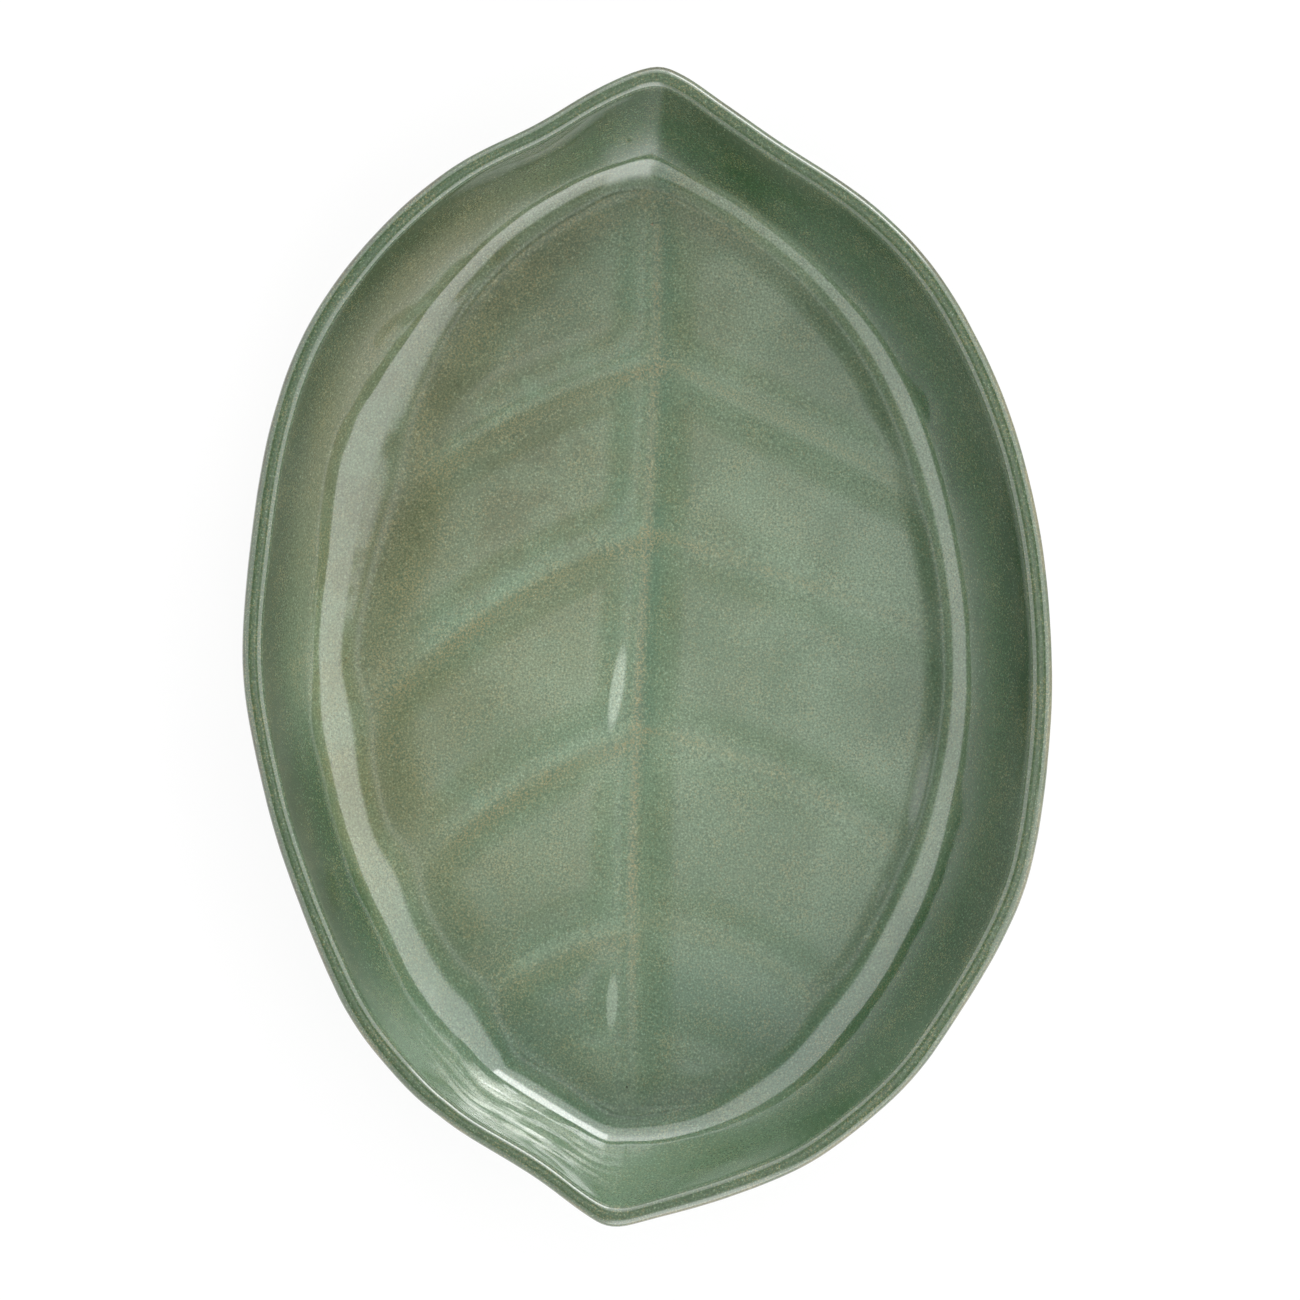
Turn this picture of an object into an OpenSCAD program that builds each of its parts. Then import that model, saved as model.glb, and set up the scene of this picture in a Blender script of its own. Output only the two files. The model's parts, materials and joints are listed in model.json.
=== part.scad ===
/* [Plate] */
// Length over the two tips of the rim
plate_length = 295; // [260:5:340]
// Width across the middle of the rim
plate_width = 206; // [180:2:240]
// Height from the table to the top of the rim
plate_height = 42; // [34:1:52]

/* [Wall and rim] */
// How far in from a tip of the rim the wall meets the floor
tip_setback = 19; // [15:0.5:26]
// How far in from a side of the rim the wall meets the floor
side_setback = 18; // [14:0.5:24]
// Width of the rim, seen from above
rim_width = 5; // [4.5:0.25:7]
// Radius that rounds both edges of the rim
rim_radius = 2.2; // [1:0.1:2.4]
// Radius of the cove between the wall and the floor
cove_radius = 14; // [8:0.5:16]
// Radius where the outside of the wall turns under the plate
turn_radius = 8; // [5:0.5:9]

/* [Floor and veins] */
// Thickness of clay under the grooves
floor_thickness = 5; // [4:0.5:8]
// Height of the panels above the grooves between them
panel_height = 0.8; // [0.5:0.1:2]
// Distance in which a panel comes down to the cove
panel_end = 8; // [5:1:15]
// Width of the groove along the middle of the leaf
midrib_groove = 21; // [14:1:26]
// Width of the groove along a side vein
vein_groove = 18; // [10:1:22]
// Width of the ridge that stands in each groove
vein_width = 4.6; // [2:0.2:6]
// Height of that ridge above its groove
vein_height = 0.2; // [0.1:0.1:1.6]

/* [Foot] */
// Height of the ring that the plate stands on
foot_height = 3; // [2:0.25:5]
// Width of the ring
foot_width = 5; // [3:0.5:8]
// Distance from the inside foot of the wall in to the ring
foot_inset = 5; // [4:0.5:9]

/* [Glaze] */
// Thickness of the fired glaze
glaze_thickness = 0.5; // [0.3:0.1:0.8]
// Bare clay between the ring and the glaze inside it
base_margin = 3; // [1.5:0.5:6]

/* [Hidden] */

clay_colour = [0.72, 0.63, 0.52];
glaze_colour = [0.48, 0.55, 0.46];

half_plate = [plate_width / 2, plate_length / 2];
half_hollow = half_plate - [side_setback, tip_setback];
under_level = foot_height - glaze_thickness;
floor_level = foot_height + floor_thickness + glaze_thickness;
inside_height = plate_height - floor_level;

// The leaf's outline at the rim, row by row from its lower tip up the right side and down the left.
// Each row gives x and y as shares of half the plate's width and length.
rim_shares = [
  [-0.085, -1], [0.02, -0.985], [0.195, -0.95], [0.375, -0.9], [0.505, -0.84], [0.65, -0.75],
  [0.76, -0.645], [0.875, -0.51], [0.95, -0.38], [0.99, -0.195], [1, -0.015], [0.97, 0.205],
  [0.885, 0.425], [0.735, 0.63], [0.555, 0.765], [0.34, 0.865], [0.185, 0.94], [0.09, 0.985],
  [0.01, 1], [-0.13, 0.96], [-0.275, 0.9], [-0.475, 0.83], [-0.67, 0.715], [-0.835, 0.56],
  [-0.93, 0.385], [-0.98, 0.175], [-1, -0.045], [-0.945, -0.255], [-0.885, -0.395], [-0.8, -0.545],
  [-0.72, -0.655], [-0.595, -0.76], [-0.51, -0.81], [-0.44, -0.845], [-0.275, -0.915], [-0.16, -0.975]
];

// The line where the wall meets the floor, in the same rows, as shares of the hollow's half sizes
hollow_shares = [
  [-0.06, -1.01], [0.035, -1.005], [0.18, -0.985], [0.34, -0.935], [0.49, -0.86], [0.605, -0.775],
  [0.725, -0.67], [0.84, -0.525], [0.915, -0.395], [0.975, -0.21], [0.99, -0.015], [0.95, 0.21],
  [0.855, 0.44], [0.72, 0.62], [0.535, 0.775], [0.315, 0.895], [0.155, 0.955], [0.065, 0.985],
  [-0.005, 0.995], [-0.12, 0.98], [-0.255, 0.945], [-0.44, 0.86], [-0.64, 0.725], [-0.815, 0.555],
  [-0.93, 0.39], [-0.985, 0.175], [-1.015, -0.05], [-0.96, -0.29], [-0.905, -0.415], [-0.8, -0.575],
  [-0.7, -0.7], [-0.56, -0.805], [-0.485, -0.85], [-0.415, -0.89], [-0.27, -0.95], [-0.145, -0.995]
];

// Height up the midrib at which each row leaves it, from the lower tip to the upper one
leave_shares = [
  -0.895, -0.87, -0.845, -0.81, -0.69, -0.557, -0.365, -0.164, 0.038, 0.24,
  0.418, 0.593, 0.668, 0.725, 0.77, 0.805, 0.83, 0.845, 0.86
];

// Where the midrib stands across the hollow at its lower and upper end
midrib_low_share = -0.06;
midrib_high_share = 0.015;
// Heights between which it swings from one to the other
swing_shares = [-0.5, 0.8];

// Rows that a side vein runs along, on both sides of the leaf
vein_rows = [3, 5, 7, 9, 11];
// How far a row's curve is pulled before it turns down, as shares of its run across and along
bow_shares = [0.6, 0.12];
// What is left of a vein's ridge at its outer end
vein_end_share = 0.45;

// Lines of points beside each vein, counted in rows
beside_vein = [-0.4, -0.15, 0, 0.15, 0.4, 1];
// Lines of points at the lower and the upper tip, counted in rows
lower_lines = [0, 0.4, 0.8, 1.3, 1.9];
upper_lines = [for (row = [12.5 : 0.5 : 18]) row];
// Places of the floor's points from the wall in to the midrib
floor_step_shares = [0.92, 0.82, 0.68, 0.52, 0.36, 0.22, 0.12, 0.07, 0.03];
cove_steps = 4;
rim_steps = 3;
turn_steps = 4;

row_count = len(rim_shares);
half_lines = concat(lower_lines, [for (row = vein_rows) for (step = beside_vein) row + step], upper_lines);
half_count = len(half_lines);
lines = concat(half_lines, [for (i = [half_count - 2 : -1 : 1]) row_count - half_lines[i]]);
line_count = len(lines);

// Both halves of the leaf share the midrib, so its table runs up and then down again
leave_loop = concat(leave_shares, [for (i = [len(leave_shares) - 2 : -1 : 1]) leave_shares[i]]);

// Smooth step from 0 at low to 1 at high
function ease(low, high, value) =
  let (f = min(1, max(0, (value - low) / (high - low))))
  f * f * (3 - 2 * f);

// Place on a smooth closed curve through the points, counted in points
function along(points, row) =
  let (n = len(points),
       i = floor(row),
       f = row - i,
       a = points[(i + n - 1) % n],
       b = points[i % n],
       c = points[(i + 1) % n],
       d = points[(i + 2) % n])
  b + f * ((c - a) / 2 + f * ((2 * a - 5 * b + 4 * c - d) / 2 + f * (3 * b - a - 3 * c + d) / 2));

function scaled(share, size) = [share[0] * size[0], share[1] * size[1]];

function rim_place(row) = scaled(along(rim_shares, row), half_plate);

function hollow_place(row) = scaled(along(hollow_shares, row), half_hollow);

// Level direction from the rim in to the hollow
function inward(row) =
  let (way = hollow_place(row) - rim_place(row))
  way / norm(way);

function midrib_x(y) =
  let (f = ease(swing_shares[0], swing_shares[1], y / half_hollow[1]))
  half_hollow[0] * (midrib_low_share * (1 - f) + midrib_high_share * f);

function midrib_place(row) =
  let (y = along(leave_loop, row) * half_hollow[1])
  [midrib_x(y), y];

// Arc that rounds the corner between the unit directions p and q.
// Its points lie sunk below the arc's own face, towards its centre.
function corner_arc(corner, p, q, radius, sunk, steps) =
  let (angle = acos(p * q),
       reach = radius / tan(angle / 2),
       centre = corner + (p + q) / norm(p + q) * radius / sin(angle / 2),
       first = (corner + p * reach - centre) / radius,
       last = (corner + q * reach - centre) / radius,
       sweep = 180 - angle)
  [for (i = [0 : steps])
    let (f = i / steps)
    centre + (radius - sunk) * (first * sin((1 - f) * sweep) + last * sin(f * sweep)) / sin(sweep)];

// Section of the plate from its underside, up the outside, over the rim and down to the floor.
// Its points are distances in from the rim and heights, sunk below the face of the glaze.
function section(run, sunk) =
  let (lean = atan((run - rim_width) / inside_height),
       down = [sin(lean), -cos(lean)],
       lip = rim_radius * (1 / cos(lean) + tan(lean) - 1),
       outer_rim = [-lip, plate_height],
       inner_rim = [rim_width, plate_height],
       inner_foot = [run, floor_level],
       outer_foot = outer_rim + down * (plate_height - under_level) / cos(lean))
  concat(
    corner_arc(outer_foot, [1, 0], -down, turn_radius, sunk, turn_steps),
    corner_arc(outer_rim, down, [1, 0], rim_radius, sunk, rim_steps),
    corner_arc(inner_rim, [-1, 0], down, rim_radius, sunk, rim_steps),
    corner_arc(inner_foot, -down, [1, 0], cove_radius, -sunk, cove_steps)
  );

function wall_section(row, sunk) =
  let (start = rim_place(row),
       way = inward(row),
       run = norm(hollow_place(row) - start))
  [for (p = section(run, sunk)) [start[0] + way[0] * p[0], start[1] + way[1] * p[0], p[1]]];

// Where the cove runs out into the floor
function toe_place(row) =
  let (points = wall_section(row, 0),
       toe = points[len(points) - 1])
  [toe[0], toe[1]];

// Place on a row's curve, from 0 at the midrib to 1 at the cove
function floor_place(row, toe, f) =
  let (root = midrib_place(row),
       pull = root + scaled(toe - root, bow_shares))
  root * (1 - f) * (1 - f) + pull * 2 * f * (1 - f) + toe * f * f;

// Row of the side vein nearest to a row, on the same side of the leaf
function nearest_vein(row) =
  let (on_right = row < row_count / 2,
       gaps = [for (v = vein_rows) abs(row - (on_right ? v : row_count - v))],
       i = search(min(gaps), gaps)[0])
  on_right ? vein_rows[i] : row_count - vein_rows[i];

// Distance from a place on the floor square across to the nearest side vein
function vein_gap(row, place, f) =
  let (vein = nearest_vein(row),
       toe = toe_place(vein),
       near = floor_place(vein, toe, f),
       way = floor_place(vein, toe, f + 0.01) - near,
       off = place - near)
  abs(off[0] * way[1] - off[1] * way[0]) / norm(way);

function ridge(gap, width) = vein_height * (1 - ease(0, width / 2, gap));

// Height of the leaf's relief above the grooves
function relief(row, toe, place, f) =
  let (side_gap = vein_gap(row, place, f),
       midrib_gap = abs(place[0] - midrib_x(place[1])),
       end = ease(0, panel_end, norm(toe - place)),
       taper = 1 - (1 - vein_end_share) * f,
       panel = panel_height * ease(vein_width / 2, vein_groove / 2, side_gap)
         * ease(vein_width / 2, midrib_groove / 2, midrib_gap))
  end * (panel + max(ridge(side_gap, vein_width) * taper, ridge(midrib_gap, vein_width)));

function floor_point(row, f, sunk) =
  let (toe = toe_place(row),
       place = floor_place(row, toe, f))
  [place[0], place[1], floor_level - sunk + relief(row, toe, place, f)];

// Rings of points from the turn under the plate to the floor beside the midrib
function rings(sunk) =
  let (walls = [for (row = lines) wall_section(row, sunk)])
  concat(
    [for (i = [0 : len(walls[0]) - 1]) for (wall = walls) wall[i]],
    [for (f = floor_step_shares) for (row = lines) floor_point(row, f, sunk)]
  );

function midrib_points(sunk) = [for (row = half_lines) floor_point(row, 0, sunk)];

glaze_rings = rings(0);
clay_rings = rings(glaze_thickness);
glaze_midrib = midrib_points(0);
clay_midrib = midrib_points(glaze_thickness);
ring_count = len(clay_rings) / line_count;

// Number of a point in a ring, and in a midrib, where the two halves meet
function in_ring(start, ring, i) = start + ring * line_count + i % line_count;

function in_midrib(start, i) =
  let (j = i % line_count)
  start + min(j, line_count - j);

// Two triangles over four corners
function patch(a, b, c, d) = [[a, b, c], [a, c, d]];

// Triangles over a stack of rings that ends in the midrib
function skin(start) =
  let (midrib = start + ring_count * line_count,
       last = ring_count - 1)
  concat(
    [for (r = [0 : last - 1]) for (i = [0 : line_count - 1])
      each patch(in_ring(start, r, i), in_ring(start, r + 1, i),
                 in_ring(start, r + 1, i + 1), in_ring(start, r, i + 1))],
    [for (i = [0 : line_count - 1])
      each patch(in_ring(start, last, i), in_midrib(midrib, i),
                 in_midrib(midrib, i + 1), in_ring(start, last, i + 1))]
  );

function turned(faces) = [for (face = faces) [face[0], face[2], face[1]]];

// Outline of the foot, at a distance in from the inside foot of the wall
function foot_outline(inset) = [for (row = lines) hollow_place(row) + inward(row) * inset];

module clay_body() {
  points = concat(clay_rings, clay_midrib, [for (p = clay_midrib) [p[0], p[1], foot_height]]);
  under = len(clay_rings) + half_count;
  base = [for (i = [0 : line_count - 1])
    each patch(in_midrib(under, i), in_ring(0, 0, i), in_ring(0, 0, i + 1), in_midrib(under, i + 1))];
  color(clay_colour) polyhedron(points, concat(skin(0), base));
}

module foot_ring() {
  color(clay_colour)
    linear_extrude(foot_height)
      difference() {
        polygon(foot_outline(foot_inset));
        polygon(foot_outline(foot_inset + foot_width));
      }
}

module glaze_coat() {
  points = concat(glaze_rings, glaze_midrib, clay_rings, clay_midrib);
  below = len(glaze_rings) + half_count;
  edge = [for (i = [0 : line_count - 1])
    each patch(in_ring(below, 0, i), in_ring(0, 0, i), in_ring(0, 0, i + 1), in_ring(below, 0, i + 1))];
  color(glaze_colour) polyhedron(points, concat(skin(0), turned(skin(below)), edge));
}

module base_glaze() {
  color(glaze_colour)
    translate([0, 0, under_level])
      linear_extrude(glaze_thickness)
        polygon(foot_outline(foot_inset + foot_width + base_margin));
}

clay_body();
foot_ring();
glaze_coat();
base_glaze();
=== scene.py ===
import bpy
import json
import math
import numpy as np
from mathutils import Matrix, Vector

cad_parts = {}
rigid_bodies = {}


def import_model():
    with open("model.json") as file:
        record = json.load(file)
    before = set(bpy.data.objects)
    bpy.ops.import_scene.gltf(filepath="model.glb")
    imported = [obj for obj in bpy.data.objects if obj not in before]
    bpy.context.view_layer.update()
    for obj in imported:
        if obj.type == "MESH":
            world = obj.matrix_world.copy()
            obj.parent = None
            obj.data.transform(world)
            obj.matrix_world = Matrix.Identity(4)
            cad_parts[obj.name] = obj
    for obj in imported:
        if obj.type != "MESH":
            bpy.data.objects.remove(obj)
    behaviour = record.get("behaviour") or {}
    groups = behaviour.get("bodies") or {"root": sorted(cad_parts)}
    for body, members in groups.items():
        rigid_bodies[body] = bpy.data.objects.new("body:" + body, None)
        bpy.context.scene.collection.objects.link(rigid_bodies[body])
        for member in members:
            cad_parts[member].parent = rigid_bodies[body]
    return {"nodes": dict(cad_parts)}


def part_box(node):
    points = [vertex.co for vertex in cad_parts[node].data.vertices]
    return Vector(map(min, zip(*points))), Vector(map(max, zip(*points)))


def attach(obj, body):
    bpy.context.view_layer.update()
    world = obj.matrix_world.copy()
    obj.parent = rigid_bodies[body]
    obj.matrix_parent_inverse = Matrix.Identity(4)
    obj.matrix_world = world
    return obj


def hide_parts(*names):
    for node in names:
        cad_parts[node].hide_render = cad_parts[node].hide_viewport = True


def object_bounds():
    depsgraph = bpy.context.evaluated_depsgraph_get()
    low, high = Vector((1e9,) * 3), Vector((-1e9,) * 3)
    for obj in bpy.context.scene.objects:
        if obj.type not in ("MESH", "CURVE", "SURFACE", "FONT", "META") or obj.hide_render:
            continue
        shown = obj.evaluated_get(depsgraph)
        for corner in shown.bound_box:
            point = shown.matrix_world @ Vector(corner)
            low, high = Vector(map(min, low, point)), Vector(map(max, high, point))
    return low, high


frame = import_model()
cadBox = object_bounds()  # the solids' box
print("frame loaded:", sorted(frame["nodes"]))

halfPlate = np.array([(cadBox[1][i] - cadBox[0][i]) / 2 for i in (0, 1)])
plateHeight = cadBox[1].z - cadBox[0].z

wallCurve = {  # how far the wall bellies out between rim and cove
    "belly": 0.0016,
    "flares": [(32.3, 1.2, 0.0020), (20.5, 1.6, 0.0008)],  # row, reach in rows and extra depth
}
dish = {  # the plate's build, in metres
    "sideSetback": 0.018,
    "tipSetback": 0.019,
    "rimWidth": 0.005,
    "rimRadius": 0.0023,
    "turnRadius": 0.008,
    "floor": 0.0055,  # clay under the grooves, and the glaze on it
    "glaze": 0.0005,
    "footInset": 0.005,
    "footWidth": 0.005,
    "baseMargin": 0.003,
    "coveShift": (0.0017, 0.07),  # how far in the cove stands: a length, and a share of its radius
}
panels = {  # where the leaf's panels end before the wall
    "inset": 0.0055,
    "leftInset": (0.0045, 0.045, -0.01),  # more of it on the left, and the places between which that sets in
    "leftSlack": (0.5, 0.02, -0.05),  # how much more gently they end on the left, in the same way
}
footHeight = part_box("foot_ring")[1].z
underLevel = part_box("base_glaze")[0].z
floorLevel = footHeight + dish["floor"]
halfHollow = halfPlate - np.array([dish["sideSetback"], dish["tipSetback"]])

# the leaf's outline at the rim, from its lower tip up the right side and down the left,
# as shares of half the plate's width and length
rimShares = [
    (-0.085, -1), (0.02, -0.985), (0.195, -0.95), (0.375, -0.9), (0.505, -0.84), (0.65, -0.75),
    (0.76, -0.645), (0.875, -0.51), (0.95, -0.38), (0.99, -0.195), (1, -0.015), (0.97, 0.205),
    (0.885, 0.425), (0.735, 0.63), (0.555, 0.765), (0.34, 0.865), (0.185, 0.94), (0.09, 0.985),
    (0.01, 1), (-0.13, 0.96), (-0.275, 0.9), (-0.475, 0.83), (-0.67, 0.715), (-0.835, 0.56),
    (-0.93, 0.385), (-0.98, 0.175), (-1, -0.045), (-0.945, -0.255), (-0.885, -0.395), (-0.8, -0.545),
    (-0.72, -0.655), (-0.595, -0.76), (-0.51, -0.81), (-0.44, -0.845), (-0.275, -0.915), (-0.16, -0.975),
]
# where the wall meets the floor, in the same rows, as shares of the hollow's half sizes
hollowShares = [
    (-0.06, -1.01), (0.035, -1.005), (0.18, -0.985), (0.34, -0.935), (0.49, -0.86), (0.605, -0.775),
    (0.725, -0.67), (0.84, -0.525), (0.915, -0.395), (0.975, -0.21), (0.99, -0.015), (0.95, 0.21),
    (0.855, 0.44), (0.72, 0.62), (0.535, 0.775), (0.315, 0.895), (0.155, 0.955), (0.065, 0.985),
    (-0.005, 0.995), (-0.12, 0.98), (-0.255, 0.945), (-0.44, 0.86), (-0.64, 0.725), (-0.815, 0.555),
    (-0.93, 0.39), (-0.985, 0.175), (-1.015, -0.05), (-0.96, -0.29), (-0.905, -0.415), (-0.8, -0.575),
    (-0.7, -0.7), (-0.56, -0.805), (-0.485, -0.85), (-0.415, -0.89), (-0.275, -0.957), (-0.149, -1.003),
]
# how far up the midrib each row leaves it
leaveShares = [
    -0.895, -0.87, -0.845, -0.81, -0.69, -0.557, -0.365, -0.164, 0.038, 0.24,
    0.418, 0.593, 0.668, 0.725, 0.77, 0.805, 0.83, 0.845, 0.86,
]
midribShares = (-0.06, 0.015)  # the midrib's place across the hollow, low and high
swingShares = (-0.5, 0.8)  # heights between which it swings over
bowShares = np.array([0.6, 0.12])
rowCount = len(rimShares)
# the cove's radius in each row, in millimetres
coveRadii = [
    9, 9.5, 10.2, 15.8, 18.6, 19, 17.2, 16.2, 12.6, 10.8, 9.6, 9.2, 10.8, 10.6, 8, 8.4, 8.6, 10.6,
    11, 8.8, 9.8, 10.4, 11.4, 17.4, 25.4, 18.5, 15, 18, 16.5, 18.5, 21, 17.2, 12.4, 11.4, 11.8, 10.6,
]
# how much further in than the hollow's edge the cove stands in each row, in millimetres
coveNudges = [
    0.5, 0, -0.3, 0, 0.2, 0.7, 0.7, 0.7, 0.8, 0.5, 0, 0, 0, 0, 0.7, 0.7, 0.5, 0.7,
    0.7, 0.8, 1.2, 1.0, 0.9, 1.7, 1.2, 0.8, 0.2, 0, 0, 0.3, 0.8, 0.5, 0.1, 0, 0, 0,
]
# each vein: how far up the midrib it leaves, the point it bends towards, its end by the cove,
# and how deep its groove is
veins = [
    (-0.808, (0.158, -0.788), (0.304, -0.891), 0.25), (-0.550, (0.347, -0.574), (0.617, -0.778), 0.35),
    (-0.164, (0.426, -0.220), (0.792, -0.428), 0.45), (0.238, (0.446, 0.146), (0.894, 0.031), 0.4),
    (0.593, (0.376, 0.479), (0.731, 0.352), 0.7), (0.593, (-0.397, 0.516), (-0.744, 0.343), 0.9),
    (0.242, (-0.528, 0.133), (-0.888, -0.140), 1), (-0.164, (-0.440, -0.243), (-0.722, -0.445), 1),
    (-0.564, (-0.325, -0.593), (-0.507, -0.711), 1), (-0.808, (-0.235, -0.799), (-0.390, -0.855), 0.45),
]
# where the left veins run up into the cove: row, reach in rows and the extra radius
notches = [(26.4, 0.3, 0.005), (28.35, 0.4, 0.005), (30.35, 0.4, 0.0035), (31.7, 0.3, 0.001)]
broken = {  # where the glaze breaks brown beside the veins
    "leftShift": (0.0018, -0.0034),
    "midribShift": 0.0014,
    "narrower": 2.2,
}
# darker teal lines beside the midrib: glaze pooled in its grooves, and painted shade there
midribShadeLines = {
    "lines": [(0.0036, 0.0025, 1.0), (-0.0066, 0.0022, 0.45)],  # how far beside the midrib, how wide, how dark
    "fade": (-0.045, -0.015),  # the places up the leaf between which they set in
}
broad = {"row": 24.2, "reach": 0.9, "extra": 0.005}  # where the cove runs furthest into the floor
streaksAndSheen = {"row": 33.2, "reach": 1.8, "top": (0.011, 0.016), "foot": (0.035, 0.029)}  # where one wall is streaked: ripples in its shape, and painted reflection in its colour
net = {  # how finely the skin is drawn
    "perRow": 48,  # samples of the outline in a row
    "smoothing": 160,  # passes that take the kinks out of it
    "halfLines": 245,  # lines of points up each half of the leaf
    "floorRings": 76,
    "floorBend": 1.25,  # rings lie closer beside the midrib
    "cornerSteps": 8,  # round the turn under the wall and both edges of the rim
    "outerSteps": 12,
    "rimSteps": 3,
    "wallSteps": 18,
    "coveSteps": 18,
    "veinPoints": 40,
    "veinPast": (0.002, 0.024, 12),  # the line of a vein runs on past its end: from, to and points
    "hidden": (2, 6),  # the hidden face of the glaze keeps one ring in so many, of the walls and the floor
}


def ease(low, high, value):
    f = np.clip((value - low) / (high - low), 0, 1)
    return f * f * (3 - 2 * f)


def swell(at, middle, reach):  # 1 in the middle and less to both sides
    return np.exp(-(((at - middle) / reach) ** 2))


def unit(way):
    return way / np.linalg.norm(way, axis=-1, keepdims=True)


def bent(a, control, b, f):  # on a curve from a to b, drawn towards a point
    return a * (1 - f) ** 2 + control * 2 * f * (1 - f) + b * f * f


def smoothLoop(points):  # a closed curve through the points, sampled and relaxed
    p = np.asarray(points, float).reshape(len(points), -1)
    f = (np.arange(net["perRow"]) / net["perRow"])[:, None, None]
    a, b, c, d = (np.roll(p, k, axis=0)[None] for k in (1, 0, -1, -2))
    curve = b + f * ((c - a) / 2 + f * ((2 * a - 5 * b + 4 * c - d) / 2 + f * (3 * b - a - 3 * c + d) / 2))
    curve = curve.transpose(1, 0, 2).reshape(-1, p.shape[1])
    for _ in range(net["smoothing"]):
        curve = (np.roll(curve, 1, axis=0) + 2 * curve + np.roll(curve, -1, axis=0)) / 4
    return curve


def onLoop(loop, rows):
    place = np.asarray(rows, float) * net["perRow"]
    low = np.floor(place).astype(int)
    f = (place - low)[:, None]
    return loop[low % len(loop)] * (1 - f) + loop[(low + 1) % len(loop)] * f


def fitted(loop, half):  # keeps the outline's reach after the relaxing
    return loop / np.abs(loop).max(axis=0) * np.array(half)


rimLoop = fitted(smoothLoop(rimShares), halfPlate)
hollowLoop = smoothLoop(hollowShares) * halfHollow
leaveLoop = smoothLoop(leaveShares + leaveShares[-2:0:-1])
coveLoop = smoothLoop(coveRadii)
nudgeLoop = smoothLoop(coveNudges)


def stationRows():
    rows = np.linspace(0, rowCount / 2, 4001)
    right = np.linalg.norm(np.diff(onLoop(hollowLoop, rows), axis=0), axis=1)
    left = np.linalg.norm(np.diff(onLoop(hollowLoop, rowCount - rows), axis=0), axis=1)
    total = np.concatenate([[0], np.cumsum(right + left)])
    half = np.interp(np.linspace(0, total[-1], net["halfLines"]), total, rows)
    return np.concatenate([half, rowCount - half[-2:0:-1]])


allRows = stationRows()
lineCount = len(allRows)


def inward(rows):
    return unit(onLoop(hollowLoop, rows) - onLoop(rimLoop, rows))


def midribX(y):
    f = ease(swingShares[0], swingShares[1], y / halfHollow[1])
    return halfHollow[0] * (midribShares[0] * (1 - f) + midribShares[1] * f)


def midribPlace(rows):
    y = onLoop(leaveLoop, rows)[:, 0] * halfHollow[1]
    return np.stack([midribX(y), y], axis=1)


def floorPlace(root, toe, f):  # on a row's curve, from the midrib out to the cove
    return bent(root, root + (toe - root) * bowShares, toe, f[:, None, None])


def cornerArc(corner, p, q, radius, steps):  # a corner made round
    angle = np.arccos((p * q).sum(axis=-1))[..., None]
    centre = corner + unit(p + q) * radius / np.sin(angle / 2)
    reach = radius / np.tan(angle / 2)
    first = (corner + p * reach - centre) / radius
    last = (corner + q * reach - centre) / radius
    sweep = np.pi - angle
    f = np.linspace(0, 1, steps + 1)[:, None, None]
    return centre + radius * (first * np.sin((1 - f) * sweep) + last * np.sin(f * sweep)) / np.sin(sweep)


def shares(steps):  # the steps between two ends
    return (np.arange(1, steps) / steps)[:, None, None]


def section(run, belly, coveRadius):  # from under the turn, up the outside, over the rim, down to the floor
    lean = np.arctan((run - dish["rimWidth"]) / (plateHeight - floorLevel))
    down = np.stack([np.sin(lean), -np.cos(lean)], axis=1)
    out = np.stack([-np.cos(lean), -np.sin(lean)], axis=1)
    level = np.tile([1.0, 0.0], (len(run), 1))
    radius, steps = dish["rimRadius"], net["cornerSteps"]
    bellied = out * 2 * belly[:, None]
    outerWay = down * ((plateHeight - underLevel) / np.cos(lean) / 2)[:, None]
    outerTop = unit(outerWay + bellied)
    lip = radius * ((1 + outerTop[:, 0]) / -outerTop[:, 1] - 1)  # keeps the roundest point at the outline
    innerRim = np.stack([np.full_like(run, dish["rimWidth"]), np.full_like(run, plateHeight)], axis=1)
    innerFoot = np.stack([run, np.full_like(run, floorLevel)], axis=1)
    innerBend = (innerRim + innerFoot) / 2 + bellied
    outerRim = np.stack([-lip, np.full_like(run, plateHeight)], axis=1)
    outerFoot = outerRim + outerWay * 2
    outerBend = (outerRim + outerFoot) / 2 + bellied
    turn = cornerArc(outerFoot, level, unit(outerBend - outerFoot), dish["turnRadius"], steps)
    outer = cornerArc(outerRim, unit(outerBend - outerRim), level, radius, steps)
    inner = cornerArc(innerRim, -level, unit(innerBend - innerRim), radius, steps)
    cove = cornerArc(innerFoot, unit(innerBend - innerFoot), level, coveRadius[:, None], net["coveSteps"])
    f = shares(net["rimSteps"])
    rings = [
        turn, bent(turn[-1], outerBend, outer[0], shares(net["outerSteps"])), outer,
        outer[-1] * (1 - f) + inner[0] * f,
        inner, bent(inner[-1], innerBend, cove[0], shares(net["wallSteps"])), cove,
    ]
    points = np.concatenate(rings)
    length = np.linalg.norm(np.diff(points, axis=0), axis=2)
    length = np.concatenate([np.zeros((1, len(run))), np.cumsum(length, axis=0)])
    middle = sum(len(r) for r in rings[:3])  # a ring on the top of the rim
    return points, length - length[middle]


def gapToPath(points, path):  # distance to a path, and how far along it that is
    start, way = path[:-1], np.diff(path, axis=0)
    off = points[:, None] - start[None]
    f = np.clip((off * way).sum(axis=2) / (way * way).sum(axis=1), 0, 1)
    gap = np.linalg.norm(off - f[..., None] * way, axis=2)
    best = gap.argmin(axis=1)
    pick = np.arange(len(points))
    return gap[pick, best], (best + f[pick, best]) / len(way)


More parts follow.
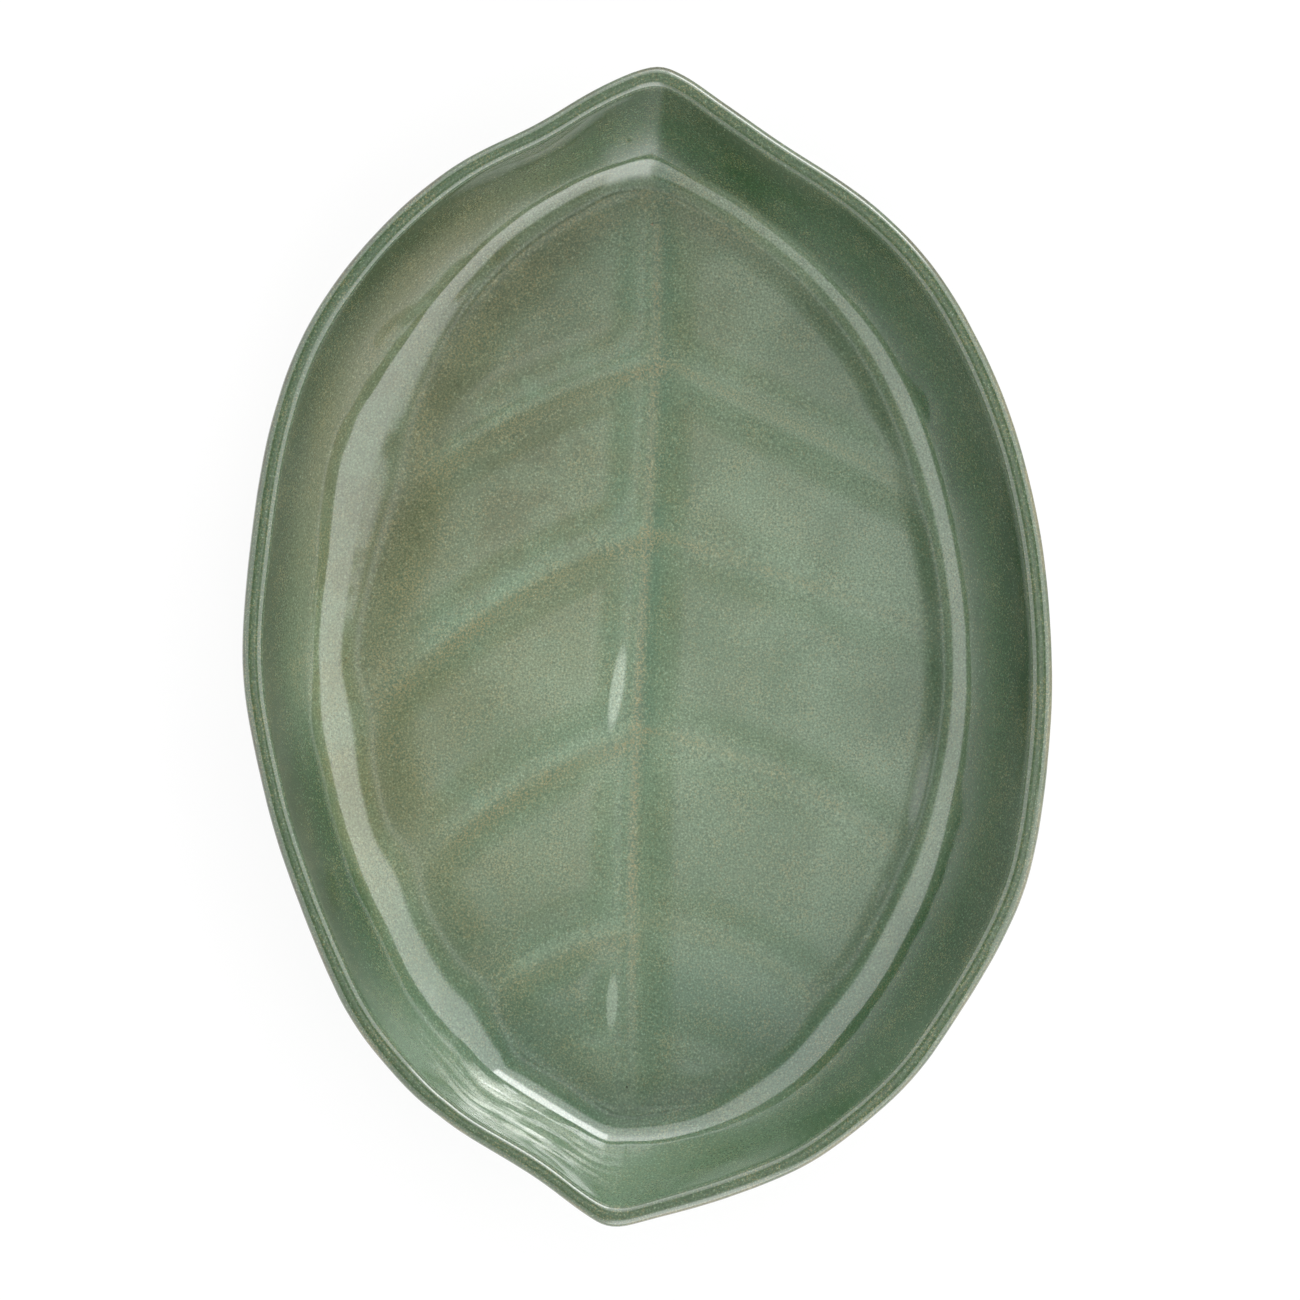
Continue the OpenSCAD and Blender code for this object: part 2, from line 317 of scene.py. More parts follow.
def skinPoints():
    start, way = onLoop(rimLoop, allRows), inward(allRows)
    foot = np.linalg.norm(onLoop(hollowLoop, allRows) - start, axis=1) + onLoop(nudgeLoop, allRows)[:, 0] / 1000
    cove = onLoop(coveLoop, allRows)[:, 0] / 1000
    cove += sum(extra * swell(allRows, row, reach) for row, reach, extra in notches)
    run = foot + dish["coveShift"][0] + cove * dish["coveShift"][1]
    flares = sum(depth * swell(allRows, row, reach) for row, reach, depth in wallCurve["flares"])
    profile, rimPlace = section(run, wallCurve["belly"] + flares, cove)
    wall = np.concatenate([start + way * profile[..., :1], profile[..., 1:]], axis=2)
    steps = np.linspace(1, 0, net["floorRings"] + 1)[1:] ** net["floorBend"]
    flat = floorPlace(midribPlace(allRows), wall[-1, :, :2], steps)
    floor = np.concatenate([flat[:-1].reshape(-1, 2), flat[-1, : net["halfLines"]]])
    points = np.concatenate([wall.reshape(-1, 3), np.column_stack([floor, np.full(len(floor), floorLevel)])])
    streaks = ease(*streaksAndSheen["top"], rimPlace) * ease(*streaksAndSheen["foot"], rimPlace)
    streaks = streaks * swell(allRows, streaksAndSheen["row"], streaksAndSheen["reach"])
    around = np.concatenate([[0], np.cumsum(np.linalg.norm(np.diff(start, axis=0), axis=1))])

    reached = net["coveSteps"] + 1  # the cove's rings, which the relief runs into
    before = (len(wall) - reached) * lineCount
    place = np.concatenate([wall[-reached:, :, :2].reshape(-1, 2), floor])
    corner = start + way * foot[:, None]
    more, *sides = panels["leftInset"]
    inset = panels["inset"] + more * ease(*sides, corner[:, 0])
    inset += broad["extra"] * swell(allRows, broad["row"], broad["reach"])
    end = corner + way * inset[:, None]
    edgeGap = gapToPath(place, np.concatenate([end, end[:1]]))[0]
    beyond = profile[-reached:, :, 0] < foot + inset
    edgeGap[: reached * lineCount] *= np.where(beyond.reshape(-1), -1, 1)
    more, *sides = panels["leftSlack"]
    edgeGap *= np.where(edgeGap > 0, 1 - more * ease(*sides, place[:, 0]), 1)

    beside = place[:, 0] - midribX(place[:, 1])
    # painted shade and pooled glaze beside the midrib
    groove = sum(deep * swell(beside, off, wide) for off, wide, deep in midribShadeLines["lines"])
    groove *= ease(*midribShadeLines["fade"], place[:, 1])
    breakGap = np.abs(beside - broken["midribShift"]) * broken["narrower"]
    veinGap, veinPlace, veinDepth = np.ones(len(place)), np.zeros(len(place)), np.zeros(len(place))
    f = np.linspace(0, 1, net["veinPoints"])[:, None]
    for leave, bend, stop, strength in veins:
        bend, stop = np.array(bend) * halfHollow, np.array(stop) * halfHollow
        y = leave * halfHollow[1]
        path = bent(np.array([midribX(y), y]), bend, stop, f)
        past = stop + unit(stop - bend) * np.linspace(*net["veinPast"])[:, None]
        path = np.concatenate([path, past])
        gap, along = gapToPath(place, path)
        if stop[0] < 0:  # the left veins break brown on their lower side
            breakGap = np.minimum(breakGap, gapToPath(place, path + np.array(broken["leftShift"]))[0])
        else:
            breakGap = np.minimum(breakGap, gap * broken["narrower"])
        closer = gap < veinGap
        veinGap, veinPlace = np.where(closer, gap, veinGap), np.where(closer, along, veinPlace)
        veinDepth = np.where(closer, strength, veinDepth)

    def onWalls(values, rest=0.0):
        return np.concatenate([values.reshape(-1), np.full(len(floor), rest)])

    def onFloor(values, rest=0.0):  # and on the cove
        return np.concatenate([np.full(before, rest), values])

    values = {
        "streaks": onWalls(streaks),
        "around": onWalls(np.tile(around, len(wall))),
        "rimPlace": onWalls(rimPlace, rimPlace[-1].mean()),
        "edgeGap": onFloor(edgeGap, -1.0),
        "veinGap": onFloor(veinGap, 1.0),
        "veinPlace": onFloor(veinPlace),
        "veinDepth": onFloor(veinDepth),
        "breakGap": onFloor(breakGap, 1.0),
        "midribGap": onFloor(np.abs(beside), 1.0),
        "groove": onFloor(groove),
    }
    return points, values, len(wall) + net["floorRings"] - 1


# every line of points, the one after it, and the points of the midrib that the two end in
lines = np.arange(lineCount)
linesAfter = (lines + 1) % lineCount
ends, endsAfter = np.minimum(lines, lineCount - lines), np.minimum(linesAfter, lineCount - linesAfter)


def skinFaces(start, rings):  # four-sided faces over rings that end in the midrib
    low = (np.arange(rings - 1) * lineCount)[:, None]
    high = low + lineCount
    grid = np.stack([low + lines, high + lines, high + linesAfter, low + linesAfter], axis=2).reshape(-1, 4)
    last, midrib = (rings - 1) * lineCount, rings * lineCount
    seam = np.stack([last + lines, midrib + ends, midrib + endsAfter, last + linesAfter], axis=1)
    return start + np.concatenate([grid, seam])


def makeMesh(name, points, faces, values=None):
    mesh = bpy.data.meshes.new(name)
    mesh.vertices.add(len(points))
    mesh.vertices.foreach_set("co", np.asarray(points, np.float32).ravel())
    faces = np.asarray(faces)[:, ::-1]
    mesh.loops.add(faces.size)
    mesh.loops.foreach_set("vertex_index", faces.astype(np.int32).ravel())
    mesh.polygons.add(len(faces))
    mesh.polygons.foreach_set("loop_start", np.arange(0, faces.size, faces.shape[1], dtype=np.int32))
    mesh.polygons.foreach_set("use_smooth", np.ones(len(faces), bool))
    for label, value in (values or {}).items():
        mesh.attributes.new(label, "FLOAT", "POINT").data.foreach_set("value", np.asarray(value, np.float32))
    mesh.update()
    mesh.validate()
    return mesh


def makePiece(name, points, faces, material=None, values=None):
    piece = bpy.data.objects.new(name, makeMesh(name, points, faces, values))
    bpy.context.scene.collection.objects.link(piece)
    if material:
        piece.data.materials.append(material)
    return piece


# small helpers that read the same in a material and in a Geometry Nodes tree

sheet = {"tree": None}  # the node tree that they draw in


def drawIn(tree):
    sheet["tree"] = tree
    return tree


def addNode(kind, **settings):
    made = sheet["tree"].nodes.new(kind)
    for key, value in settings.items():
        setattr(made, key, value)
    return made


def feed(socket, value):
    if isinstance(value, bpy.types.NodeSocket):
        sheet["tree"].links.new(value, socket)
    else:
        socket.default_value = value


def wire(kind, fed, result=0, **settings):  # a node, what feeds it, and the result that is used
    made = addNode(kind, **settings)
    for key, value in fed.items():
        feed(made.inputs[key], value)
    return made.outputs[result]


def maths(operation, a, b=0.0):
    return wire("ShaderNodeMath", {0: a, 1: b}, operation=operation)


def plus(a, b):
    return maths("ADD", a, b)


def minus(a, b):
    return maths("SUBTRACT", a, b)


def larger(a, b):
    return maths("MAXIMUM", a, b)


def times(value, *others):
    for other in others:
        value = maths("MULTIPLY", value, other)
    return value


def squares(a, b):
    return plus(times(a, a), times(b, b))


def remap(value, low, high, toLow=0.0, toHigh=1.0, smooth=True):
    fed = dict(enumerate((value, low, high, toLow, toHigh)))
    return wire("ShaderNodeMapRange", fed, interpolation_type="SMOOTHSTEP" if smooth else "LINEAR")


def noise(vector, scale, detail=2.0, rough=0.5, distort=0.0, seed=0.0):
    fed = {"Vector": vector, "W": seed, "Scale": scale, "Detail": detail, "Roughness": rough}
    return wire("ShaderNodeTexNoise", {**fed, "Distortion": distort}, noise_dimensions="4D")


def split(vector):
    made = addNode("ShaderNodeSeparateXYZ")
    feed(made.inputs[0], vector)
    return made.outputs


def combine(*parts):
    return wire("ShaderNodeCombineXYZ", dict(enumerate(parts)))


def scaled(vector, amount):
    return wire("ShaderNodeVectorMath", {0: vector, "Scale": amount}, operation="SCALE")


def numberInputs(values):
    for label, value in values.items():
        made = sheet["tree"].interface.new_socket(label, in_out="INPUT", socket_type="NodeSocketFloat")
        made.default_value = value


def mixColour(factor, a, b):
    return wire("ShaderNodeMix", {0: factor, 6: a, 7: b}, 2, data_type="RGBA")


def tone(r, g, b):  # a colour as read off a screen, from 0 to 255
    def linear(v):
        v /= 255
        return v / 12.92 if v <= 0.04045 else ((v + 0.055) / 1.055) ** 2.4

    return (linear(r), linear(g), linear(b), 1)


# the leaf's relief: veins that stand in grooves between puffed panels

relief = {
    "Panel height": 0.0008,
    "Side reach": 0.0105,
    "Midrib reach": 0.0112,
    "Edge reach": 0.0068,
    "Groove": 0.0014,
    "Roundness": 2.2,
    "Vein width": 0.0046,
    "Vein height": 0.00004,
    "Vein end": 0.6,
    "Fade start": 0.001,  # veins and colours fade out towards the edge of the panels
    "Fade end": 0.009,
    "Break width": 0.0095,
    # where the painted highlight along the veins' crests is full, and where it is gone
    "Crest start": 0.0005,
    "Crest reach": 0.0026,
    "Ripple height": 0.0003,
    "Ripple scale": 34.0,
    "Wrinkle height": 0.00016,
    "Wrinkle scale": 120.0,
    "Wrinkle twist": 0.6,
    "Wall start": -0.001,  # the wall's wrinkles set in past the panels
    "Wall full": -0.006,
    "Streak height": 0.0016,
    "Streak length": 30.0,
    "Streak scale": 320.0,
    "Seed": 3.0,
}


def reliefTree(material):
    tree = drawIn(bpy.data.node_groups.new("leafRelief", "GeometryNodeTree"))
    tree.interface.new_socket("Geometry", in_out="INPUT", socket_type="NodeSocketGeometry")
    numberInputs(relief)
    tree.interface.new_socket("Geometry", in_out="OUTPUT", socket_type="NodeSocketGeometry")
    given = addNode("NodeGroupInput").outputs

    def stored(label):
        return wire("GeometryNodeInputNamedAttribute", {"Name": label}, "Attribute", data_type="FLOAT")

    def nearness(gap, reach):  # large beside a panel's edge, small in its middle
        share = maths("DIVIDE", given[reach], larger(gap, 0.0001))
        return maths("POWER", share, given["Roundness"])

    def rippled(kind, vector, scale, twist=0.0):
        level = noise(vector, scale, detail=1.0, distort=twist, seed=given["Seed"])
        return times(minus(level, 0.5), given[kind + " height"])

    veinGap, midribGap, edgeGap = stored("veinGap"), stored("midribGap"), stored("edgeGap")
    besideVein = minus(veinGap, given["Groove"])
    besideMidrib = minus(midribGap, given["Groove"])
    total = plus(nearness(besideMidrib, "Midrib reach"), nearness(edgeGap, "Edge reach"))
    depth = maths("POWER", total, maths("DIVIDE", -1.0, given["Roundness"]))
    valley = times(remap(besideVein, 0.0, given["Side reach"], 1.0, 0.0), stored("veinDepth"))
    panel = times(remap(depth, 0.0, 1.0), minus(1.0, valley))
    fade = remap(edgeGap, given["Fade start"], given["Fade end"])
    veinHalf = times(given["Vein width"], 0.5)
    taper = remap(stored("veinPlace"), 0.0, 1.0, 1.0, given["Vein end"], smooth=False)
    sideRidge = times(remap(veinGap, 0.0, veinHalf, 1.0, 0.0), taper)
    ridge = larger(sideRidge, remap(midribGap, 0.0, veinHalf, 1.0, 0.0))
    ridge = times(ridge, fade)
    lift = times(panel, given["Panel height"])
    lift = plus(lift, times(ridge, given["Vein height"]))

    place = addNode("GeometryNodeInputPosition").outputs[0]
    onWall = remap(edgeGap, given["Wall start"], given["Wall full"])
    fine = times(rippled("Wrinkle", place, given["Wrinkle scale"], given["Wrinkle twist"]), onWall)
    wave = plus(rippled("Ripple", place, given["Ripple scale"]), fine)
    length = times(stored("around"), given["Streak length"])
    drawn = combine(length, times(stored("rimPlace"), given["Streak scale"]))  # stretched along the wall
    wave = plus(wave, times(rippled("Streak", drawn, 1.0), stored("streaks")))
    out = scaled(addNode("GeometryNodeInputNormal").outputs[0], wave)
    offset = wire("ShaderNodeVectorMath", {0: out, 1: combine(0.0, 0.0, lift)}, operation="ADD")

    breakHalf = times(given["Break width"], 0.5)
    # a painted highlight along the veins' crests
    crestHighlight = remap(veinGap, given["Crest start"], given["Crest reach"], 1.0, 0.0)
    painted = {  # what the glaze's colours go by
        "ridge": times(remap(stored("breakGap"), 0.0, breakHalf, 1.0, 0.0), fade),
        "pool": times(minus(1.0, panel), fade),
        "crestHighlight": times(crestHighlight, stored("veinDepth"), fade),
    }
    shape = given["Geometry"]
    for label, value in painted.items():
        fed = {"Geometry": shape, "Name": label, "Value": value}
        shape = wire("GeometryNodeStoreNamedAttribute", fed, data_type="FLOAT", domain="POINT")
    shape = wire("GeometryNodeSetPosition", {"Geometry": shape, "Offset": offset})
    shape = wire("GeometryNodeRealizeInstances", {0: shape})
    shape = wire("GeometryNodeSetMaterial", {"Geometry": shape, "Material": material})
    feed(addNode("NodeGroupOutput").inputs[0], shape)
    return tree


def runTree(piece, tree, values):  # the tree's result as a plain mesh
    modifier = piece.modifiers.new(tree.name, "NODES")
    modifier.node_group = tree
    for item in tree.interface.items_tree:
        if item.in_out == "INPUT" and item.name in values:
            modifier[item.identifier] = values[item.name]
    graph = bpy.context.evaluated_depsgraph_get()
    shown = piece.evaluated_get(graph)
    mesh = bpy.data.meshes.new_from_object(shown, preserve_all_data_layers=True, depsgraph=graph)
    piece.modifiers.remove(modifier)
    return mesh


def readArray(data, label, width):
    values = np.empty(len(data) * width, np.float32)
    data.foreach_get(label, values)
    return values.reshape(-1, width)


# shared effects of the materials


def newGroup(name, inputs, outputs):  # reads a place and numbers, gives values
    tree = drawIn(bpy.data.node_groups.new(name, "ShaderNodeTree"))
    tree.interface.new_socket("Vector", in_out="INPUT", socket_type="NodeSocketVector")
    numberInputs(inputs)
    for label in outputs:
        tree.interface.new_socket(label, in_out="OUTPUT", socket_type="NodeSocketFloat")
    return tree, addNode("NodeGroupInput").outputs, addNode("NodeGroupOutput").inputs


def useGroup(group, **values):
    made = addNode("ShaderNodeGroup", node_tree=group)
    for label, value in values.items():
        feed(made.inputs[label], value)
    return made.outputs


grains = {
    "cluster": (95.0, 0.25),  # how finely they crowd, and how much
    "secondScale": 0.8,
    "secondSeed": 5.0,
    "levels": {"Ochre": (0.53, 0.68), "Dark": (0.44, 0.33), "Pale": (0.58, 0.72)},  # none and full
    "shade": (0.3, 0.7),
}


def flecksGroup():  # grains that float in the glaze
    labels = ("Ochre", "Dark", "Pale", "Shade", "Height")
    tree, given, out = newGroup("glazeFlecks", {"Grain": 1500.0, "Seed": 0.0}, labels)
    place, seed = given["Vector"], given["Seed"]
    scale, crowding = grains["cluster"]
    cluster = noise(place, scale, detail=2.0, seed=seed)
    drift = times(minus(cluster, 0.5), crowding)
    first = noise(place, given["Grain"], detail=2.0, rough=0.65, seed=seed)
    scale, seed = times(given["Grain"], grains["secondScale"]), plus(seed, grains["secondSeed"])
    second = noise(place, scale, detail=2.0, rough=0.6, seed=seed)
    levels = {"Ochre": plus(first, drift), "Dark": minus(first, drift), "Pale": second}
    for label, level in levels.items():
        feed(out[label], remap(level, *grains["levels"][label]))
    feed(out["Shade"], remap(second, *grains["shade"], smooth=False))
    feed(out["Height"], plus(first, second))
    return tree


clouds = {  # scale, detail, roughness, twist, its own seed, and the levels where it is 0 and 1
    "Cloud": (22.0, 3.0, 0.55, 0.4, 0.0, 0.35, 0.65),
    "Drift": (9.0, 2.0, 0.5, 0.0, 2.0, 0.38, 0.62),
    "Blotch": (75.0, 3.0, 0.6, 0.0, 4.0, 0.36, 0.64),
}


def mottleGroup():  # where the glaze lies thicker or thinner
    tree, given, out = newGroup("glazeMottle", {"Seed": 0.0}, clouds)
    for label, (scale, detail, rough, twist, own, low, high) in clouds.items():
        level = noise(given["Vector"], scale, detail, rough, twist, plus(given["Seed"], own))
        feed(out[label], remap(level, low, high))
    return tree


grog = {
    "bodyScale": 40.0,
    "gritScale": 1300.0,
    "speckScale": 420.0,
    "speckSize": (300.0, 0.5, 0.7, 0.08, 0.32),  # the scale at which it changes, its levels and the sizes there
}


def clayGroup():  # fired body with grog in it
    tree, given, out = newGroup("clayGrain", {"Seed": 0.0}, ("Tone", "Grog", "Speck", "Height"))
    place, seed = given["Vector"], given["Seed"]
    body = noise(place, grog["bodyScale"], detail=4.0, rough=0.6, seed=seed)
    grit = noise(place, grog["gritScale"], detail=3.0, rough=0.7, seed=seed)
    cells = wire("ShaderNodeTexVoronoi", {"Vector": place, "Scale": grog["speckScale"]}, "Distance", feature="F1")
    scale, *levels = grog["speckSize"]
    size = remap(noise(place, scale, seed=seed), *levels)
    feed(out["Tone"], remap(body, 0.35, 0.65))
    feed(out["Grog"], remap(grit, 0.4, 0.6))
    feed(out["Speck"], maths("LESS_THAN", cells, size))
    feed(out["Height"], grit)
    return tree


flecks, mottle, clayGrain = flecksGroup(), mottleGroup(), clayGroup()


def emptyTree(owner):
    owner.use_nodes = True
    drawIn(owner.node_tree).nodes.clear()


def newMaterial(name):
    material = bpy.data.materials.new(name)
    emptyTree(material)
    shader = addNode("ShaderNodeBsdfPrincipled")
    feed(addNode("ShaderNodeOutputMaterial").inputs["Surface"], shader.outputs[0])
    return material, shader, addNode("ShaderNodeTexCoord").outputs["Object"]


def readAttribute(label):
    return addNode("ShaderNodeAttribute", attribute_name=label).outputs["Fac"]


def bump(height, distance):
    return wire("ShaderNodeBump", {"Height": height, "Distance": distance})


glazeLook = {
    "leafLight": tone(110, 130, 107),
    "leafDeep": tone(91, 111, 88),
    "warm": tone(108, 111, 79),
    "pool": tone(96, 118, 93),
    # darker teal beside the midrib: pooled glaze and painted shade
    "groove": tone(80, 106, 84),
    "break": tone(118, 112, 80),
    "shaded": tone(84, 92, 68),
    "deep": tone(70, 97, 77),
    # a darker band along the foot of the right wall: painted shade
    "coveShade": tone(76, 99, 75),
    # the walls' own darker green, made darker still as painted shade
    "wall": tone(46, 76, 47),
    "wallLit": tone(82, 100, 77),
    # brown glaze on the upper left wall, made lighter there as a painted sheen
    "wallBrownSheen": tone(106, 107, 83),
    # the darkest wall colour: painted shade, low on both sides and high on the right
    "wallShade": tone(22, 60, 27),
    # a paler green along the veins' crests: painted highlight
    "crestHighlight": tone(115, 137, 112),
    # painted shade high on the walls, under the rim, less towards the lower tip
    "wallTopShade": tone(28, 50, 30),
    # a lighter wall towards the lower tip, more on its left: painted light
    "wallLowLit": tone(98, 121, 97),
    "rimTop": tone(66, 84, 61),
    # the rim's outer edge, where thin glaze breaks brown, painted lighter on the lower right where light falls and
    # darker on the upper left
    "rimEdge": tone(112, 108, 84),
    "rimBrown": tone(62, 60, 42),
    # pale streaks of painted reflection on the lower left wall
    "streak": tone(206, 214, 202),
    "glint": tone(156, 171, 153),
    "glints": [  # painted highlights beside the midrib: place, slant, reach across and along, strength
        (-0.00785, -0.0109, 0.15, 0.0019, 0.0118, 0.75), (-0.00915, -0.0926, 0.05, 0.0016, 0.0078, 0.45),
    ],
    "ochre": tone(172, 156, 108),
    "dark": tone(56, 76, 56),
    "pale": tone(176, 190, 170),
    "flecks": (0.36, 0.26, 0.5, 0.22),  # how strongly the grains shade, and how strong ochre, dark and pale are
    "baseFlecks": (0.5, 0.24, 0.5, 0.25),
    "grain": 2300.0,
    "roughness": (0.1, 0.17),
    "skin": (320.0, 0.6, 0.12, 0.00004),  # its bumps: their scale, their share, that of the grains, the depth
    "baseSkin": (260.0, 0.00006),
    "sheenStrokes": (42.0, 360.0),  # how fine the strokes of painted reflection are, along the wall and down it
}
# Masks: each is multiplied from values by their names, from numbers, and from values with where they start,
# where they end, and what counts at both (0 and 1 if it isn't said). A layer is a colour laid on by its mask.
leafLayers = [
    ("warm", ("x", -0.1, 0.06, 0.75, 0.05, False), ("Drift", 0, 1, 0.35, 1), ("Blotch", 0, 1, 1.15, 0.65),
     ("y", -0.1, -0.03, 0.12, 1)),
    ("shaded", ("x", 0.005, -0.03), ("y", -0.01, 0.045), ("Blotch", 0, 1, 0.7, 0.42)),
    ("deep", ("y", -0.055, -0.105), ("Cloud", 0, 1, 0.35, 0.85)),
    ("pool", "pool", ("Blotch", 0, 1, 0.3, 0.7)),
    # pooled glaze and painted shade beside the midrib
    ("groove", "groove", ("Blotch", 0, 1, 0.35, 0.75)),
    # painted highlight along the veins' crests
    ("crestHighlight", "crestHighlight", ("Blotch", 0, 1, 0.18, 0.48)),
    ("break", "ridge", ("Height", 0.92, 1.12, 0, 0.9), ("x", -0.02, 0.05, 1, 0.55), ("Blotch", 0, 1, 0.45, 1),
     ("y", -0.11, -0.07, 0.1, 1)),
    ("break", "brownEdge", ("Height", 0.9, 1.12), ("Blotch", 0, 1, 0.2, 1), ("x", -0.02, 0.06, 1, 0.4),
     ("y", -0.11, -0.06, 0.25, 1)),
    # painted shade along the foot of the right wall
    ("coveShade", ("edgeGap", -0.0008, 0.0012), ("edgeGap", 0.0028, 0.0085, 1, 0), ("x", 0.015, 0.05, 0, 0.8),
     ("y", 0.02, 0.08, 1, 0.4)),
]
wallLayers = [
    ("wallLit", ("slant", 0.03, -0.07), ("y", -0.07, -0.005, 0.2, 1)),
    # painted shade on the walls
    ("wallShade", "shadiest", 0.9),
    # painted light on the wall towards the lower tip
    ("wallLowLit", ("y", -0.062, -0.112, 0, 0.8), ("x", 0.05, -0.01, 0.22, 1)),
    # brown glaze with a painted sheen on the upper left wall
    ("wallBrownSheen", ("x", 0, -0.06), ("y", -0.02, 0.07), 0.8),
    # painted shade high on the walls
    ("wallTopShade", ("y", -0.105, -0.065, 0.1, 0.9), ("z", 0.017, 0.038)),
]
masks = {
    "brownShift": (("y", 0.02, 0.08, 0.004, 0.0015),),  # how far in from the panels' edge the brown runs
    # where the walls are painted in shade: low on both sides, and high on the right
    "shadeLow": (("y", -0.01, -0.042), ("sides", 0.03, 0.06)),
    "shadeHigh": (("y", 0.005, 0.05), ("x", -0.01, 0.03)),
    "wallFoot": (("x", -0.02, -0.06, 0.0095, 0.013),),  # the height at which the wall's colour sets in
    "wall": ("wallShare", ("Drift", 0, 1, 0.8, 1)),
    "rimTop": (("rimOff", 0.004, 0.0024),),
    "rimEdge": (("outerOff", 0.0013, 0.0004), ("Blotch", 0, 1, 0.1, 0.75)),
    "rimShadeSide": (("cross", 0.06, -0.06),),
    # painted reflection in streaks on the lower left wall
    "streaksAndSheen": (("sheenStrokes", 0.42, 0.6, 0.08, 0.85), ("Blotch", 0.1, 0.8, 0.35, 1), "streaks"),
    "besideEdge": ("brownEdge", ("x", 0, 0.04, 1, 0.2)),
    "matt": (("rimPlace", -0.0016, -0.0024), ("rimPlace", -0.009, -0.006), ("sum", 0.03, 0.09)),
    "thin": (("y", -0.105, -0.065, 0.1, 0.9), ("z", 0.012, 0.028), ("rimPlace", 0.003, 0.006)),  # high on the wall
    "tip": (("y", 0.07, 0.12, 0, 0.7), ("x", 0.015, -0.01)),
}
measures = {
    "brownEdge": (0.0004, 0.006, 0.62, 0.0),  # the brown beside the panels' edge, by the distance from it
    "slant": 0.6,  # how much going up the leaf counts beside going across, for the lit wall
    "wallRise": 0.0055,
    "outerEdge": 0.0026,  # from the middle of the rim out to its brown edge
    "glintEdge": (1.15, 0.35),
    "ridgeRough": 0.08,
    "mattRough": 0.35,
    "thinCoat": 0.9,
}


def glazeColour(place, seed):
    marks = useGroup(flecks, Vector=place, Grain=glazeLook["grain"], Seed=seed)
    cloth = useGroup(mottle, Vector=place, Seed=seed)
    colour = mixColour(cloth["Cloud"], glazeLook["leafDeep"], glazeLook["leafLight"])
    return colour, marks, cloth


def addFlecks(colour, marks, grain, *strengths):
    shade = remap(marks["Shade"], 0.0, 1.0, 1 - grain, 1 + grain, smooth=False)
    colour = scaled(colour, shade)
    for label, strength in zip(("ochre", "dark", "pale"), strengths):
        colour = mixColour(times(marks[label.title()], strength), colour, glazeLook[label])
    return colour


